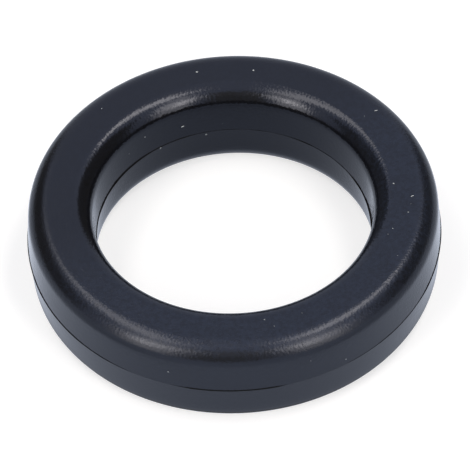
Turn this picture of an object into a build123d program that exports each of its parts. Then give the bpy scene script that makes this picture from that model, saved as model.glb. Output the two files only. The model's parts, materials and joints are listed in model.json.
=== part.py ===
from build123d import *
import os
from math import radians, tan

# Damper ring, compression moulded from solid rubber in one piece.
# Millimetres, +Z up the ring's axis. The origin is the centre of the lower flat face.
#
# The mould closes at mid-height and each half draws along the axis, so both walls lean back from
# the parting plane: the ring is widest there, and its bore is narrowest. Rubber that crept between
# the mould halves stands along both walls as a low bead of flash, trimmed flat on its crown.

# Driving dimensions
outer_diameter = 45.0  # over the outer wall at the parting plane
bore_diameter = 30.0  # across the bore wall at the parting plane
height = 11.0  # from one flat face to the other
wall_draft = 4.0  # degrees that each half of a wall leans from the axis
edge_radius = 2.2  # rounding of the four edges between walls and flat faces
outer_flash = 0.07  # how far the bead stands out of the outer wall
bore_flash = 0.12  # how far the bead stands into the bore
flash_crown = 0.10  # width of the trimmed crown of each bead

# Derived
parting = height / 2
lean = tan(radians(wall_draft))


def wall(radius, outward, rise):
    """Points up one wall, from the lower face to the upper one.

    radius is the wall's at the parting plane. outward is 1 for the outer wall and -1 for the bore.
    rise is the height of the bead, whose flanks stand at 45 degrees to the axis.
    """
    half_crown = flash_crown / 2
    half_base = half_crown + rise

    def drafted(z):
        return radius - outward * abs(z - parting) * lean, z

    crown = radius + outward * rise
    return [
        drafted(0),
        drafted(parting - half_base),
        (crown, parting - half_crown),
        (crown, parting + half_crown),
        drafted(parting + half_base),
        drafted(height),
    ]


def moulded_section():
    """Half-section of the ring: drafted walls, flash beads and four rounded edges."""
    outer = wall(outer_diameter / 2, 1, outer_flash)
    bore = wall(bore_diameter / 2, -1, bore_flash)
    with BuildSketch(Plane.XZ) as section:
        with BuildLine():
            Polyline(*outer, *reversed(bore), close=True)
        make_face()
        levels = section.vertices().group_by(Axis.Y)  # the sketch's Y is the ring's Z
        fillet(levels[0] + levels[-1], radius=edge_radius)
    return section.sketch


def damper_ring():
    with BuildPart() as ring:
        add(moulded_section())
        revolve(axis=Axis.Z, revolution_arc=360)
    return ring.part


os.makedirs("parts", exist_ok=True)
ring = damper_ring()
ring.label = "damper_ring"
export_step(ring, "parts/damper_ring.step")
print(f"damper_ring: {ring.volume / 1000:.3f} cm3, {ring.bounding_box().size}")
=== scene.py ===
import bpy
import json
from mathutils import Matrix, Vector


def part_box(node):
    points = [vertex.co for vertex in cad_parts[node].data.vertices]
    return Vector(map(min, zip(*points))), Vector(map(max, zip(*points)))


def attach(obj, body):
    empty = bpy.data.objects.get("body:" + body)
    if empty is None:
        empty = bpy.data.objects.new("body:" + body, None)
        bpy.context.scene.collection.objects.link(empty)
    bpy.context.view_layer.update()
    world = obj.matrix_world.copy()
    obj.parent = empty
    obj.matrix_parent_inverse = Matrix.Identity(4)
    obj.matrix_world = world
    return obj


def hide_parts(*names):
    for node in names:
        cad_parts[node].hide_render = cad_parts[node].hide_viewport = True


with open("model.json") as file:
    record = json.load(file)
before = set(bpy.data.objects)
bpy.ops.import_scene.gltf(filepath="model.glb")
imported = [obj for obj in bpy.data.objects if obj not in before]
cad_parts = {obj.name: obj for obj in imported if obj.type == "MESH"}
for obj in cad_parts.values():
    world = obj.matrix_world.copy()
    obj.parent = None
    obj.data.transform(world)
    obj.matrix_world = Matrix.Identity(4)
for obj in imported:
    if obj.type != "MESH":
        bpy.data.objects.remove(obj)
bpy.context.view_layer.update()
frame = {"record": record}

import json
import random
from math import cos, degrees, pi, radians, sin, tan

import bmesh
import bpy
from mathutils import Matrix, Quaternion, Vector, noise

scene = bpy.context.scene
scene.view_settings.view_transform = "Standard"
mm = 0.001  # sizes below are in millimetres unless a note says otherwise; Blender works in metres
noiseSpan = {"From Min": 0.3, "From Max": 0.7}  # nearly all of a noise texture's values lie in it


def linear(hexColour):  # sRGB hex to the linear values that shader sockets take
    parts = [int(hexColour[i:i + 2], 16) / 255 for i in (1, 3, 5)]
    return [c / 12.92 if c <= 0.04045 else ((c + 0.055) / 1.055) ** 2.4 for c in parts] + [1.0]


def emptyTree(owner):
    owner.use_nodes = True
    owner.node_tree.nodes.clear()
    return owner.node_tree


def addNode(tree, kind, settings=None, links=None):
    # settings: property or socket -> value; links: socket -> the output that feeds it
    node = tree.nodes.new(kind)
    for name, value in (settings or {}).items():
        if isinstance(name, str) and hasattr(node, name):
            setattr(node, name, value)
        else:
            node.inputs[name].default_value = value
    for name, output in (links or {}).items():
        tree.links.new(output, node.inputs[name])
    return node


def inShine(tree):
    # 1 for the rays that show what is mirrored or seen through, and 0 for all others
    rays = addNode(tree, "ShaderNodeLightPath").outputs
    return addNode(tree, "ShaderNodeMath", {"operation": "MAXIMUM"},
                   {0: rays["Is Glossy Ray"], 1: rays["Is Transmission Ray"]}).outputs["Value"]


def byDistance(tree, distance, stops):
    # a value that runs through the (millimetres, value) stops as the distance grows
    reach = stops[-1][0]
    most = max(value for place, value in stops)
    along = addNode(tree, "ShaderNodeMath", {"operation": "DIVIDE", 1: reach * mm}, {0: distance})
    ramp = addNode(tree, "ShaderNodeValToRGB", {}, {0: along.outputs["Value"]})
    elements = ramp.color_ramp.elements
    elements.remove(elements[1])
    for count, (place, value) in enumerate(stops):
        stop = elements[0] if count == 0 else elements.new(place / reach)
        stop.position = place / reach
        stop.color = (value / most, value / most, value / most, 1.0)
    scaled = addNode(tree, "ShaderNodeMath", {"operation": "MULTIPLY", 1: most}, {0: ramp.outputs["Color"]})
    return scaled.outputs["Value"]


def addPiece(mesh, material):
    mesh.shade_smooth()
    mesh.materials.append(material)
    piece = bpy.data.objects.new(mesh.name, mesh)
    scene.collection.objects.link(piece)
    return piece


def addMesh(name, points, faces, material):
    mesh = bpy.data.meshes.new(name)
    mesh.from_pydata(points, [], faces)
    return addPiece(mesh, material)


# Ring: one compression moulding. Height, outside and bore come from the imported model. Its walls lean
# back from a parting plane at mid-height, where a thin bead of moulding flash is left on both.

low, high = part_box("damper_ring")
boreMount = next(mount for mount in frame["record"]["mounts"] if mount["name"] == "bore")

ring = {
    "height": (high[2] - low[2]) / mm,
    "outerFlash": 0.07,  # how far the bead stands out of the outer wall
    "boreFlash": 0.12,  # and into the bore
    "flashCrown": 0.05,  # width of its torn crown
    "flashFlank": 0.6,  # width of each flank as a share of the bead's height
    "flashUneven": 0.45,  # share by which the bead comes and goes round the ring
    "flashWaves": (2, 3, 5, 8, 13, 21, 34),  # how many times each of the waves goes round
    "wavePush": 1.8,  # how hard the waves are driven against their limits
    # runs of the outer bead, by azimuth and half-width in degrees, with the share of it that stands
    # there: left proud in front, and trimmed close on either side of that
    "outerRuns": ((-92, 13, 1.1), (-115, 7, 0.1), (-69, 9, 0.1)),
    "runFade": 3,  # degrees over which a run fades in
    "flashFoot": 0.02,  # the wall's first narrow step beside the bead
    "wallDraft": 4.0,  # degrees
    "edgeRadius": 2.2,
    "segments": 640,
    "arcSteps": 20,
    "wallSteps": 6,  # from the bead to a rounded edge
    "beadSteps": 7,  # for each half of the bead
    "flatSteps": 5,
    "seed": 1196,
}
outerRadius = high[0] / mm - ring["outerFlash"]  # at the parting plane, without the bead
boreRadius = boreMount["dims"]["r_mm"] + ring["boreFlash"]
parting = ring["height"] / 2
draft = radians(ring["wallDraft"])


def beadRise(away, flash, crown):
    # height of the flash bead at a distance from the parting plane: flat crown, rounded foot
    flank = ring["flashFlank"] * flash
    inside = min(max((crown / 2 + flank - away) / flank, 0), 1)
    return flash * inside * inside * (3 - 2 * inside)


def wallRun(radius, outward, fullFlash, share):
    # one wall with its two rounded edges, from the lower face to the upper one; the bead has that
    # share of its full height and crown
    flash, crown = fullFlash * share, ring["flashCrown"] * share
    edge = ring["edgeRadius"]
    arcHeight = ring["height"] - edge
    arcCentre = radius - outward * ((arcHeight - parting) * tan(draft) + edge / cos(draft))
    arc = []
    for step in range(ring["arcSteps"] + 1):
        turn = draft + (pi / 2 - draft) * step / ring["arcSteps"]
        arc.append((arcCentre + outward * edge * cos(turn), arcHeight + edge * sin(turn)))
    beadHalf = crown / 2 + ring["flashFlank"] * flash
    foot = beadHalf + ring["flashFoot"]
    wallLeft = arc[0][1] - parting - foot
    aways = [beadHalf * step / ring["beadSteps"] for step in range(ring["beadSteps"] + 1)]
    aways += [foot + wallLeft * step / ring["wallSteps"] for step in range(ring["wallSteps"])]
    upper = []
    for away in aways:
        rise = beadRise(away, flash, crown) - away * tan(draft)
        upper.append((radius + outward * rise, parting + away))
    upper += arc
    lower = [(r, ring["height"] - z) for r, z in reversed(upper[1:])]
    return lower + upper


def between(first, last, steps):
    # points across a flat face, without its ends
    return [(first[0] + (last[0] - first[0]) * k / steps, first[1]) for k in range(1, steps)]


def section(outerShare, boreShare):
    # closed outline in radius and height: outer wall up, top face in, bore wall down, lower face out
    outer = wallRun(outerRadius, 1, ring["outerFlash"], outerShare)
    bore = wallRun(boreRadius, -1, ring["boreFlash"], boreShare)[::-1]
    top = between(outer[-1], bore[0], ring["flatSteps"])
    bottom = between(bore[-1], outer[0], ring["flatSteps"])
    return outer + top + bore + bottom


def comeAndGo(source):
    # a smooth closed curve round the ring, from -1 to 1, from a few waves with random phases
    waves = [(count, source.uniform(0, 2 * pi), 1 / count ** 0.5) for count in ring["flashWaves"]]
    total = sum(size for count, phase, size in waves) / ring["wavePush"]
    return lambda angle: max(-1, min(1, sum(s * sin(c * angle + p) for c, p, s in waves) / total))


def withRuns(share, angle):
    # the share of the outer bead once the proud and the close-trimmed runs are laid over it
    for azimuth, halfWidth, left in ring["outerRuns"]:
        away = abs((degrees(angle) - azimuth + 180) % 360 - 180)
        inside = min(max((halfWidth + ring["runFade"] / 2 - away) / ring["runFade"], 0), 1)
        share += (left - share) * inside
    return share


def buildRing(skin, torn):
    source = random.Random(ring["seed"])
    outerWave, boreWave = comeAndGo(source), comeAndGo(source)
    points = []
    for segment in range(ring["segments"]):
        angle = 2 * pi * segment / ring["segments"]
        outerShare = 1 + ring["flashUneven"] * (outerWave(angle) - 1)
        boreShare = 1 + ring["flashUneven"] * (boreWave(angle) - 1)
        outline = section(withRuns(outerShare, angle), boreShare)
        points += [(r * mm * cos(angle), r * mm * sin(angle), z * mm + low[2]) for r, z in outline]
    count = len(outline)  # the same in every segment
    faces = []
    for segment in range(ring["segments"]):
        here = segment * count
        there = (segment + 1) % ring["segments"] * count
        for k in range(count):
            after = (k + 1) % count
            faces.append((here + k, there + k, there + after, here + after))
    piece = addMesh("moulded_ring", points, faces, skin)
    piece.data.materials.append(torn)
    # the bead's own faces, on both walls, take the torn material
    wallCount = len(wallRun(outerRadius, 1, ring["outerFlash"], 1))
    outerMiddle = wallCount // 2
    boreMiddle = wallCount + ring["flatSteps"] - 1 + wallCount // 2
    for face in piece.data.polygons:
        place = face.index % count
        away = min(abs(place + 0.5 - outerMiddle), abs(place + 0.5 - boreMiddle))
        face.material_index = 1 if away < ring["beadSteps"] else 0
    return piece


rubber = {
    "colour": "#0D0D0F",
    "ior": 1.45,  # solid nitrile is about 1.5; the skin's fine grain takes a little off
    # roughness by radius: bore wall, bore edge, top face, outer edge, outer wall. The mould's walls
    # are polished so that the ring slides out, and its outer edge is left the coarsest.
    "finish": ((14.8, 0.1), (15.2, 0.1), (15.5, 0.175), (17.2, 0.175), (17.6, 0.18), (19.8, 0.18),
               (20.4, 0.23), (21.2, 0.27), (22, 0.27), (22.3, 0.11), (22.7, 0.11)),
    "roughnessSpread": 0.02,  # by which patches of the skin differ
    "mottle": 2.5,  # size of those patches
    "shineTint": "#DCE6FF",  # a trace of bloom on the skin cools what it mirrors
    "grain": 0.25,  # of a spark-eroded mould, where it is near 0.1, drawn coarser so that it shows
    "grainDepth": 0.0145,
    "paintedSheenColour": "#161A24",  # painted sheen: a paler, cooler colour that stands in for the brighter reflection on the top face's front and right
    "paintedSheenAzimuth": -55,
    "paintedSheenAlong": (-9, 5),  # where it fades in along that azimuth
    "paintedSheenHeight": (9.6, 10.9),  # and up to the top face
    "paintedSheenGrain": 0.4,  # size of its specks, drawn coarse enough to show
    "paintedSheenDepth": (0.4, 1.6),  # from between the specks to a speck
    "paintedSheenLeast": 0.25,  # the share of it that lies everywhere else
}


def paintedSheenOver(tree, place):
    # how much painted sheen lies at a place: the top face's front and right, in fine specks, with a share
    # everywhere else
    bearing = radians(rubber["paintedSheenAzimuth"])
    nearEnd, farEnd = rubber["paintedSheenAlong"]
    lowEnd, highEnd = rubber["paintedSheenHeight"]
    along = addNode(tree, "ShaderNodeVectorMath",
                    {"operation": "DOT_PRODUCT", 1: (cos(bearing), sin(bearing), 0)}, {0: place})
    side = addNode(tree, "ShaderNodeMapRange",
                   {"interpolation_type": "SMOOTHSTEP", "From Min": nearEnd * mm, "From Max": farEnd * mm},
                   {"Value": along.outputs["Value"]})
    height = addNode(tree, "ShaderNodeSeparateXYZ", {}, {"Vector": place}).outputs["Z"]
    upper = addNode(tree, "ShaderNodeMapRange",
                    {"interpolation_type": "SMOOTHSTEP", "From Min": lowEnd * mm + low[2],
                     "From Max": highEnd * mm + low[2]},
                    {"Value": height})
    specks = addNode(tree, "ShaderNodeTexNoise", {"Scale": 1 / (rubber["paintedSheenGrain"] * mm), "Detail": 3.0},
                     {"Vector": place})
    thin, thick = rubber["paintedSheenDepth"]
    thickness = addNode(tree, "ShaderNodeMapRange", {**noiseSpan, "To Min": thin, "To Max": thick},
                        {"Value": specks.outputs["Fac"]})
    there = addNode(tree, "ShaderNodeMath", {"operation": "MULTIPLY"},
                    {0: side.outputs["Result"], 1: upper.outputs["Result"]})
    least = rubber["paintedSheenLeast"]
    share = addNode(tree, "ShaderNodeMath", {"operation": "MULTIPLY_ADD", 1: 1 - least, 2: least},
                    {0: there.outputs["Value"]})
    return addNode(tree, "ShaderNodeMath", {"operation": "MULTIPLY"},
                   {0: share.outputs["Value"], 1: thickness.outputs["Result"]}).outputs["Value"]


def compressionMouldedNitrile():
    # Black nitrile rubber from a fine spark-eroded mould: a deep, slightly cool black with a satin
    # skin. Soft reflections stay clear in shape, and the fine grain breaks the bright ones up.
    material = bpy.data.materials.new("compression_moulded_nitrile_rubber")
    tree = emptyTree(material)
    place = addNode(tree, "ShaderNodeTexCoord").outputs["Object"]
    grain = addNode(tree, "ShaderNodeTexNoise", {"Scale": 1 / (rubber["grain"] * mm), "Detail": 0.0},
                    {"Vector": place})
    skin = addNode(tree, "ShaderNodeBump", {"Strength": 1.0, "Distance": rubber["grainDepth"] * mm},
                   {"Height": grain.outputs["Fac"]})
    flat = addNode(tree, "ShaderNodeVectorMath", {"operation": "MULTIPLY", 1: (1.0, 1.0, 0.0)}, {0: place})
    fromAxis = addNode(tree, "ShaderNodeVectorMath", {"operation": "LENGTH"}, {0: flat.outputs["Vector"]})
    finish = byDistance(tree, fromAxis.outputs["Value"], rubber["finish"])
    mottle = addNode(tree, "ShaderNodeTexNoise", {"Scale": 1 / (rubber["mottle"] * mm), "Detail": 3.0},
                     {"Vector": place})
    spread = rubber["roughnessSpread"]
    patches = addNode(tree, "ShaderNodeMapRange", {**noiseSpan, "To Min": -spread, "To Max": spread},
                      {"Value": mottle.outputs["Fac"]})
    shine = addNode(tree, "ShaderNodeMath", {"operation": "ADD"},
                    {0: finish, 1: patches.outputs["Result"]})
    # painted sheen: the base colour is mixed toward a paler, cooler colour where that sheen lies
    colour = addNode(tree, "ShaderNodeMix", {"data_type": "RGBA", "clamp_factor": False,
                                             6: linear(rubber["colour"]), 7: linear(rubber["paintedSheenColour"])},
                     {0: paintedSheenOver(tree, place)})
    surface = addNode(tree, "ShaderNodeBsdfPrincipled",
                      {"IOR": rubber["ior"], "Specular Tint": linear(rubber["shineTint"])},
                      {"Base Color": colour.outputs[2], "Roughness": shine.outputs["Value"],
                       "Normal": skin.outputs["Normal"]})
    addNode(tree, "ShaderNodeOutputMaterial", {}, {"Surface": surface.outputs["BSDF"]})
    return material


tornEdge = {
    "colour": "#08090B",
    "roughness": 0.8,
    "shine": 0.15,
    "rag": 0.08,  # size of the crumbs, which can't be coarser because the bead is hardly wider
    "ragDepth": 0.02,
}


def tornNitrile():
    # The edge left where the moulding flash was torn off: no mould skin, so dull and crumbly, and
    # darker than the skin beside it because its small pits hold the light.
    material = bpy.data.materials.new("torn_nitrile_flash")
    tree = emptyTree(material)
    place = addNode(tree, "ShaderNodeTexCoord").outputs["Object"]
    rag = addNode(tree, "ShaderNodeTexNoise", {"Scale": 1 / (tornEdge["rag"] * mm), "Detail": 2.0},
                  {"Vector": place})
    skin = addNode(tree, "ShaderNodeBump", {"Strength": 1.0, "Distance": tornEdge["ragDepth"] * mm},
                   {"Height": rag.outputs["Fac"]})
    surface = addNode(tree, "ShaderNodeBsdfPrincipled",
                      {"Base Color": linear(tornEdge["colour"]), "IOR": rubber["ior"],
                       "Roughness": tornEdge["roughness"], "Specular IOR Level": tornEdge["shine"]},
                      {"Normal": skin.outputs["Normal"]})
    addNode(tree, "ShaderNodeOutputMaterial", {}, {"Surface": surface.outputs["BSDF"]})
    return material


mouldedRing = buildRing(compressionMouldedNitrile(), tornNitrile())
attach(mouldedRing, "root")
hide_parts("damper_ring")
print("ring:", len(mouldedRing.data.polygons), "faces")


# Lint: a few pale flecks and grains of dust that lie on the rubber.

lint = {
    "colour": "#CDD9E6",
    "dustColour": "#747C86",
    "toneSize": 1.5,  # distance over which it goes from one colour to the other
    "roughness": 0.95,
    "ior": 1.45,  # cellulose is about 1.5
    "fibre": 0.03,  # cotton is about 0.02 thick, so it is drawn coarser
    "fibreDepth": 0.01,
    "thickness": 0.05,
    "sunk": 0.01,  # into the rubber, so that no fleck floats
    "crumple": 0.3,
    "creases": ((1.3, 1), (3.1, 0.5)),  # fineness and strength, for a ball of radius 1
    # each fleck's face, azimuth, radius on the top or height on a wall, length, width and turn
    "flecks": (
        ("top", 100, 19.1, 0.24, 0.16, 0),
        ("top", 81, 18.9, 0.22, 0.18, 60),
        ("top", 36, 20.0, 0.38, 0.1, 10),
        ("top", -3, 19.4, 0.38, 0.1, 25),
        ("top", 3, 17.5, 0.16, 0.14, 0),
        ("bore", 110, 7.2, 0.38, 0.13, 8),
        ("bore", 121, 5.3, 0.22, 0.16, 30),
        ("bore", 100, 5.1, 0.22, 0.12, 0),
        ("bore", 128, 8.2, 0.14, 0.1, 20),
        ("top", 135, 19.7, 0.12, 0.1, 0),
        ("top", -10, 19.1, 0.12, 0.1, 0),
        ("top", -18, 17.9, 0.11, 0.09, 0),
        ("top", -81, 17.7, 0.11, 0.09, 0),
        ("wall", -60, 6.2, 0.13, 0.1, 0),
        ("wall", -110, 7.4, 0.12, 0.1, 0),
    ),
    "dust": 14,
    "dustSize": (0.05, 0.09),
    "dustShape": (0.6, 1),  # width as a share of length
    "dustFaces": ("top", "top", "top", "bore", "wall"),
    "dustOnTop": (17.6, 19.9),  # radius
    "dustOnWalls": (6.2, 8.4),  # height
    "seed": 11,
}


def restingPlace(face, azimuth, along, turn):
    # a point on the face, the long side's direction there and the way out
    a, t = radians(azimuth), radians(turn)  # turn is counted within the face
    radial, tangent, up = Vector((cos(a), sin(a), 0)), Vector((-sin(a), cos(a), 0)), Vector((0, 0, 1))
    if face == "top":
        return radial * along + up * ring["height"], Vector((cos(t), sin(t), 0)), up
    side = -1 if face == "bore" else 1
    radius = boreRadius if face == "bore" else outerRadius
    lean = 1 if along > parting else -1
    outward = (radial * side * cos(draft) + up * lean * sin(draft)).normalized()
    point = radial * (radius - side * abs(along - parting) * tan(draft)) + up * along
    return point, tangent * cos(t) + outward.cross(tangent) * sin(t), outward


def crumpledFleck(bm, place, length, width, source):
    # a thin ragged flake: a small ball pressed flat and crumpled
    point, longSide, outward = place
    shortSide = outward.cross(longSide)
    ball = bmesh.ops.create_icosphere(bm, subdivisions=3, radius=1.0)["verts"]
    shift = Vector([source.uniform(-50, 50) for axis in range(3)])  # another part of the noise
    for vert in ball:
        creased = sum(deep * noise.noise(vert.co * fine + shift) for fine, deep in lint["creases"])
        x, y, z = vert.co * (1 + lint["crumple"] * creased)
        raised = lint["thickness"] * (0.5 + z / 2) - lint["sunk"]
        spot = point + longSide * x * length / 2 + shortSide * y * width / 2 + outward * raised
        vert.co = spot * mm + Vector((0, 0, low[2]))


def buildLint(material):
    source = random.Random(lint["seed"])
    bm = bmesh.new()
    for face, azimuth, along, length, width, turn in lint["flecks"]:
        crumpledFleck(bm, restingPlace(face, azimuth, along, turn), length, width, source)
    for grain in range(lint["dust"]):
        face = source.choice(lint["dustFaces"])
        azimuth = source.uniform(-180, 180)
        along = source.uniform(*lint["dustOnTop" if face == "top" else "dustOnWalls"])
        size = source.uniform(*lint["dustSize"])
        place = restingPlace(face, azimuth, along, source.uniform(0, 180))
        crumpledFleck(bm, place, size, size * source.uniform(*lint["dustShape"]), source)
    mesh = bpy.data.meshes.new("lint_flecks")
    bm.to_mesh(mesh)
    bm.free()
    return addPiece(mesh, material)


def cottonLint():
    # Cotton lint and paper dust: matt and pale, off-white in some flecks and grey in others.
    material = bpy.data.materials.new("cotton_lint")
    tree = emptyTree(material)
    place = addNode(tree, "ShaderNodeTexCoord").outputs["Object"]
    tone = addNode(tree, "ShaderNodeTexNoise",
                   {"Scale": 1 / (lint["toneSize"] * mm), "Detail": 4.0, "Roughness": 0.7}, {"Vector": place})
    colour = addNode(tree, "ShaderNodeMix", {"data_type": "RGBA", 6: linear(lint["dustColour"]),
                                             7: linear(lint["colour"])}, {0: tone.outputs["Fac"]})
    fibres = addNode(tree, "ShaderNodeTexNoise", {"Scale": 1 / (lint["fibre"] * mm), "Detail": 2.0},
                     {"Vector": place})
    nap = addNode(tree, "ShaderNodeBump", {"Strength": 1.0, "Distance": lint["fibreDepth"] * mm},
                  {"Height": fibres.outputs["Fac"]})
    surface = addNode(tree, "ShaderNodeBsdfPrincipled",
                      {"Roughness": lint["roughness"], "IOR": lint["ior"]},
                      {"Base Color": colour.outputs[2], "Normal": nap.outputs["Normal"]})
    addNode(tree, "ShaderNodeOutputMaterial", {}, {"Surface": surface.outputs["BSDF"]})
    return material


lintFlecks = buildLint(cottonLint())
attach(lintFlecks, "root")
print("lint:", len(lint["flecks"]), "flecks and", lint["dust"], "grains")


# Studio: a pale floor, a cool white surround, soft panels and dark cards. Distances here are in
# metres, but the floor's stops and places are in millimetres, as the ring's sizes are.

ringCentre = Vector((0, 0, low[2] + parting * mm))
studio = {
    "floorRadius": 3.0,
    "floorSides": 96,
    "floorColour": "#B8BFCB",
    "floorToCamera": 0.6,  # white that the floor adds for the camera, so that it stays a plain white
    # the floor's brightness in reflections, by distance from the ring's axis: the hole, the shade
    # under the ring, the lit floor round it and the open floor
    "floorInShine": ((0, 0.37), (7, 0.6), (13.3, 0.55), (14, 0.58), (14.5, 0.72), (15.6, 0.74), (16, 0.2),
                     (21.9, 0.25), (22.6, 0.8), (23.2, 1.05), (26.5, 1.06), (29.5, 1.18), (33, 1.05),
                     (37, 0.85)),
    # how many times brighter it is beside the ring, by distance from a line along X
    "floorBeside": ((0, 1.16), (5, 1.16), (13, 1.0)),
    "besideAt": 6,  # where that line crosses Y
    "floorInFront": 1.35,  # how many times brighter it is in front of the ring
    "frontFrom": (-29, -38),  # over which stretch of Y that comes in
    "floorShineColour": "#E0E8F8",
    "surround": "#E4EBFF",
    "surroundLow": 0.7,  # white of the surround in reflections, at the horizon
    "surroundMiddle": 0.9,
    "surroundHigh": 1.08,  # and overhead
    "surroundStep": (0.76, 0.86),  # height in the sky, as a sine, of the brighter half
    "surroundLean": 0.4,  # by which that step leans over to +X
    "surroundLight": 0.2,  # for the light that falls on the ring and the floor
}


def byRay(tree, camera, shine, rest):
    # a strength for the camera, one for glossy and transmission rays, one for all other rays
    seen = addNode(tree, "ShaderNodeLightPath").outputs["Is Camera Ray"]
    chosen = addNode(tree, "ShaderNodeMix", {"A": rest}, {"Factor": inShine(tree), "B": shine})
    return addNode(tree, "ShaderNodeMix", {"B": camera},
                   {"Factor": seen, "A": chosen.outputs["Result"]}).outputs["Result"]


def whiteSurround():
    # white for the camera, and a cool white sky, brighter overhead, for reflections and light
    world = bpy.data.worlds.new("cool_white_surround")
    tree = emptyTree(world)
    direction = addNode(tree, "ShaderNodeTexCoord").outputs["Generated"]
    parts = addNode(tree, "ShaderNodeSeparateXYZ", {}, {"Vector": direction}).outputs
    gradient = addNode(tree, "ShaderNodeMapRange", {"To Min": studio["surroundLow"],
                                                    "To Max": studio["surroundMiddle"],
                                                    "From Max": studio["surroundStep"][0]},
                       {"Value": parts["Z"]})
    leaning = addNode(tree, "ShaderNodeMath", {"operation": "MULTIPLY_ADD", 1: studio["surroundLean"]},
                      {0: parts["X"], 2: parts["Z"]})
    bright = addNode(tree, "ShaderNodeMapRange", {"interpolation_type": "SMOOTHSTEP",
                                                  "From Min": studio["surroundStep"][0],
                                                  "From Max": studio["surroundStep"][1]},
                     {"Value": leaning.outputs["Value"]})
    sky = addNode(tree, "ShaderNodeMix", {"B": studio["surroundHigh"]},
                  {"Factor": bright.outputs["Result"], "A": gradient.outputs["Result"]})
    strength = byRay(tree, 1.0, sky.outputs["Result"], studio["surroundLight"])
    seen = addNode(tree, "ShaderNodeLightPath").outputs["Is Camera Ray"]
    colour = addNode(tree, "ShaderNodeMix", {"data_type": "RGBA", 6: linear(studio["surround"]),
                                             7: (1.0, 1.0, 1.0, 1.0)}, {0: seen})
    glow = addNode(tree, "ShaderNodeBackground", {}, {"Color": colour.outputs[2], "Strength": strength})
    addNode(tree, "ShaderNodeOutputWorld", {}, {"Surface": glow.outputs["Background"]})
    scene.world = world


def paleFloor():
    # Matt card: it takes the ring's soft shadow and looks white. What the rubber mirrors of it has
    # levels of its own, as on a floor that is lit from all round.
    material = bpy.data.materials.new("matt_pale_card")
    tree = emptyTree(material)
    card = addNode(tree, "ShaderNodeBsdfDiffuse", {"Color": linear(studio["floorColour"])})
    seen = addNode(tree, "ShaderNodeLightPath").outputs["Is Camera Ray"]
    addedWhite = addNode(tree, "ShaderNodeMath", {"operation": "MULTIPLY", 1: studio["floorToCamera"]},
                         {0: seen})
    white = addNode(tree, "ShaderNodeEmission", {}, {"Strength": addedWhite.outputs["Value"]})
    lit = addNode(tree, "ShaderNodeAddShader", {}, {0: card.outputs[0], 1: white.outputs[0]})
    place = addNode(tree, "ShaderNodeTexCoord").outputs["Object"]
    away = addNode(tree, "ShaderNodeVectorMath", {"operation": "DISTANCE", 1: (0, 0, low[2])}, {0: place})
    level = byDistance(tree, away.outputs["Value"], studio["floorInShine"])
    alongY = addNode(tree, "ShaderNodeSeparateXYZ", {}, {0: place}).outputs["Y"]
    past = addNode(tree, "ShaderNodeMath", {"operation": "SUBTRACT", 1: studio["besideAt"] * mm}, {0: alongY})
    aside = addNode(tree, "ShaderNodeMath", {"operation": "ABSOLUTE"}, {0: past.outputs["Value"]})
    beside = byDistance(tree, aside.outputs["Value"], studio["floorBeside"])
    nearEnd, farEnd = studio["frontFrom"]
    inFront = addNode(tree, "ShaderNodeMapRange", {"From Min": nearEnd * mm, "From Max": farEnd * mm,
                                                   "To Min": 1.0, "To Max": studio["floorInFront"]},
                      {"Value": alongY})
    nearby = addNode(tree, "ShaderNodeMath", {"operation": "MULTIPLY"},
                     {0: inFront.outputs["Result"], 1: beside})
    raised = addNode(tree, "ShaderNodeMath", {"operation": "MULTIPLY"},
                     {0: level, 1: nearby.outputs["Value"]})
    shine = addNode(tree, "ShaderNodeEmission", {"Color": linear(studio["floorShineColour"])},
                    {"Strength": raised.outputs["Value"]})
    both = addNode(tree, "ShaderNodeMixShader", {}, {0: inShine(tree), 1: lit.outputs[0],
                                                     2: shine.outputs[0]})
    addNode(tree, "ShaderNodeOutputMaterial", {}, {"Surface": both.outputs[0]})
    radius, sides = studio["floorRadius"], studio["floorSides"]
    turns = [2 * pi * k / sides for k in range(sides)]
    rim = [(radius * cos(turn), radius * sin(turn), low[2]) for turn in turns]
    floor = addMesh("floor", rim, [tuple(range(sides))], material)


def toward(azimuth, elevation, distance):
    # a place seen from the ring at that bearing (0 is +X, 90 is +Y) and height angle, in degrees
    a, e = radians(azimuth), radians(elevation)
    return ringCentre + distance * Vector((cos(e) * cos(a), cos(e) * sin(a), sin(e)))


def facingRing(start, end):
    # matrix of a panel whose Y runs from start to end and whose -Z looks at the ring
    middle = (start + end) / 2
    along = (end - start).normalized()
    back = middle - ringCentre
    back = (back - back.dot(along) * along).normalized()
    across = along.cross(back)
    return Matrix.Translation(middle) @ Matrix((across, along, back)).transposed().to_4x4()


boxAway = 0.6
coreAway = 0.58  # the bright middle of a softbox, a little before its cloth
lampWhite = "#FAECD8"
softPanels = {
    # name: (ends, width, radiance); the strips hang level, half a metre up
    "front_left_box": ((toward(-135, 22, boxAway), toward(-135, 50, boxAway)), 0.25, 4.4),
    "front_left_foot": ((toward(-135, 1, boxAway), toward(-135, 22, boxAway)), 0.25, 3.0),
    "front_left_core": ((toward(-136, 22, coreAway), toward(-136, 43, coreAway)), 0.065, 8.4),
    "front_right_box": ((toward(-51, 22, boxAway), toward(-51, 49, boxAway)), 0.26, 4.6),
    "front_right_foot": ((toward(-51, 1, boxAway), toward(-51, 22, boxAway)), 0.26, 2.6),
    "front_right_core": ((toward(-56, 22, coreAway), toward(-56, 43, coreAway)), 0.065, 7.0),
    "upper_left_box": ((toward(-137, 50, boxAway), toward(-142, 60, boxAway)), 0.16, 1.8),
    "upper_right_box": ((toward(-49, 49, boxAway), toward(-42, 64, boxAway)), 0.15, 2.8),
    "left_strip": ((Vector((-0.178, 0.18, 0.5)), Vector((-0.215, -0.16, 0.5))), 0.135, 4.8),
    "back_left_strip": ((Vector((-0.1, 0.325, 0.5)), Vector((-0.195, 0.205, 0.5))), 0.12, 3.8),
    "right_strip": ((Vector((0.203, 0.25, 0.5)), Vector((0.148, -0.1, 0.5))), 0.11, 7.8),
}


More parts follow.
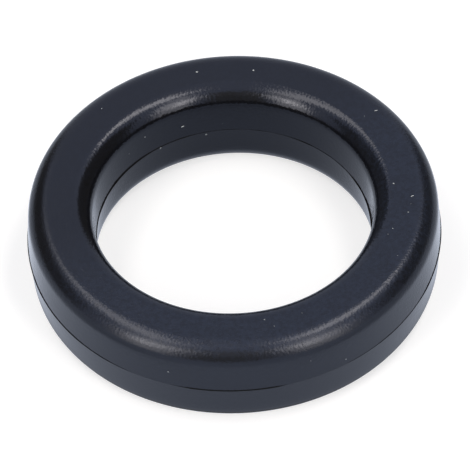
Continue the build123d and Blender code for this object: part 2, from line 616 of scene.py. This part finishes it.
def softPanel(name, ends, width, radiance):
    # an area light turned to the ring, which the camera doesn't see
    length = (ends[1] - ends[0]).length
    light = bpy.data.lights.new(name, "AREA")
    light.shape = "RECTANGLE"
    light.size = width
    light.size_y = length
    light.energy = radiance * pi * width * length  # so that the panel's face glows at that radiance
    light.color = linear(lampWhite)[:3]
    lamp = bpy.data.objects.new(name, light)
    lamp.matrix_world = facingRing(*ends)
    lamp.visible_camera = False
    scene.collection.objects.link(lamp)


cardAway = 0.9
cardColour = "#FFF6E6"
darkCards = {
    # name: (ends of its lower side, height, glow); the last one stands on the front card's upper side
    "left_card": ((toward(116, 0, cardAway), toward(188, 0, cardAway)), 0.78, 0.08),
    "right_card": ((toward(-17, 0, cardAway), toward(61, 0, cardAway)), 0.82, 0.08),
    "front_card": ((toward(-116, 0, cardAway), toward(-76, 0, cardAway)), 0.6, 0.3),
    "front_card_top": ((toward(-116, 33.7, 1.082), toward(-76, 33.7, 1.082)), 0.7, 0.42),
}


def darkCard(name, ends, height, glow):
    # a grey card that the shine of the rubber picks up; it takes no light off the ring or the floor
    material = bpy.data.materials.new("dark_card")
    tree = emptyTree(material)
    grey = addNode(tree, "ShaderNodeEmission", {"Strength": glow, "Color": linear(cardColour)})
    addNode(tree, "ShaderNodeOutputMaterial", {}, {"Surface": grey.outputs[0]})
    start, end = ends
    lift = Vector((0, 0, height))
    card = addMesh(name, [start, end, end + lift, start + lift], [(0, 1, 2, 3)], material)
    card.visible_camera = False
    card.visible_diffuse = False
    card.visible_shadow = False
    card.visible_transmission = False


whiteSurround()
paleFloor()
for name, spec in softPanels.items():
    softPanel(name, *spec)
for name, spec in darkCards.items():
    darkCard(name, *spec)
print("studio: floor,", len(softPanels), "panels,", len(darkCards), "dark cards")


view = {
    "azimuth": -90,
    "elevation": 48.72,
    "distance": 509.25,  # from the ring's centre, in millimetres
    "lens": 358.05,
    "sensor": 36,
    "clip": (0.01, 10),  # metres
    "roll": -2.646,
    "tilt": -0.0507,
    "pan": -0.0104,
}


def addCamera():
    camera = bpy.data.cameras.new("camera")
    camera.lens = view["lens"]
    camera.sensor_width = view["sensor"]
    camera.clip_start, camera.clip_end = view["clip"]
    holder = bpy.data.objects.new("camera", camera)
    back = toward(view["azimuth"], view["elevation"], 1) - ringCentre
    look = (-back).to_track_quat("-Z", "Y")
    roll = Quaternion((0, 0, 1), radians(view["roll"]))
    aim = Quaternion((1, 0, 0), radians(view["tilt"])) @ Quaternion((0, 1, 0), radians(view["pan"]))
    holder.location = ringCentre + back * view["distance"] * mm
    holder.rotation_euler = (look @ roll @ aim).to_euler()
    scene.collection.objects.link(holder)
    scene.camera = holder


addCamera()
print("camera:", view["lens"], "mm lens")
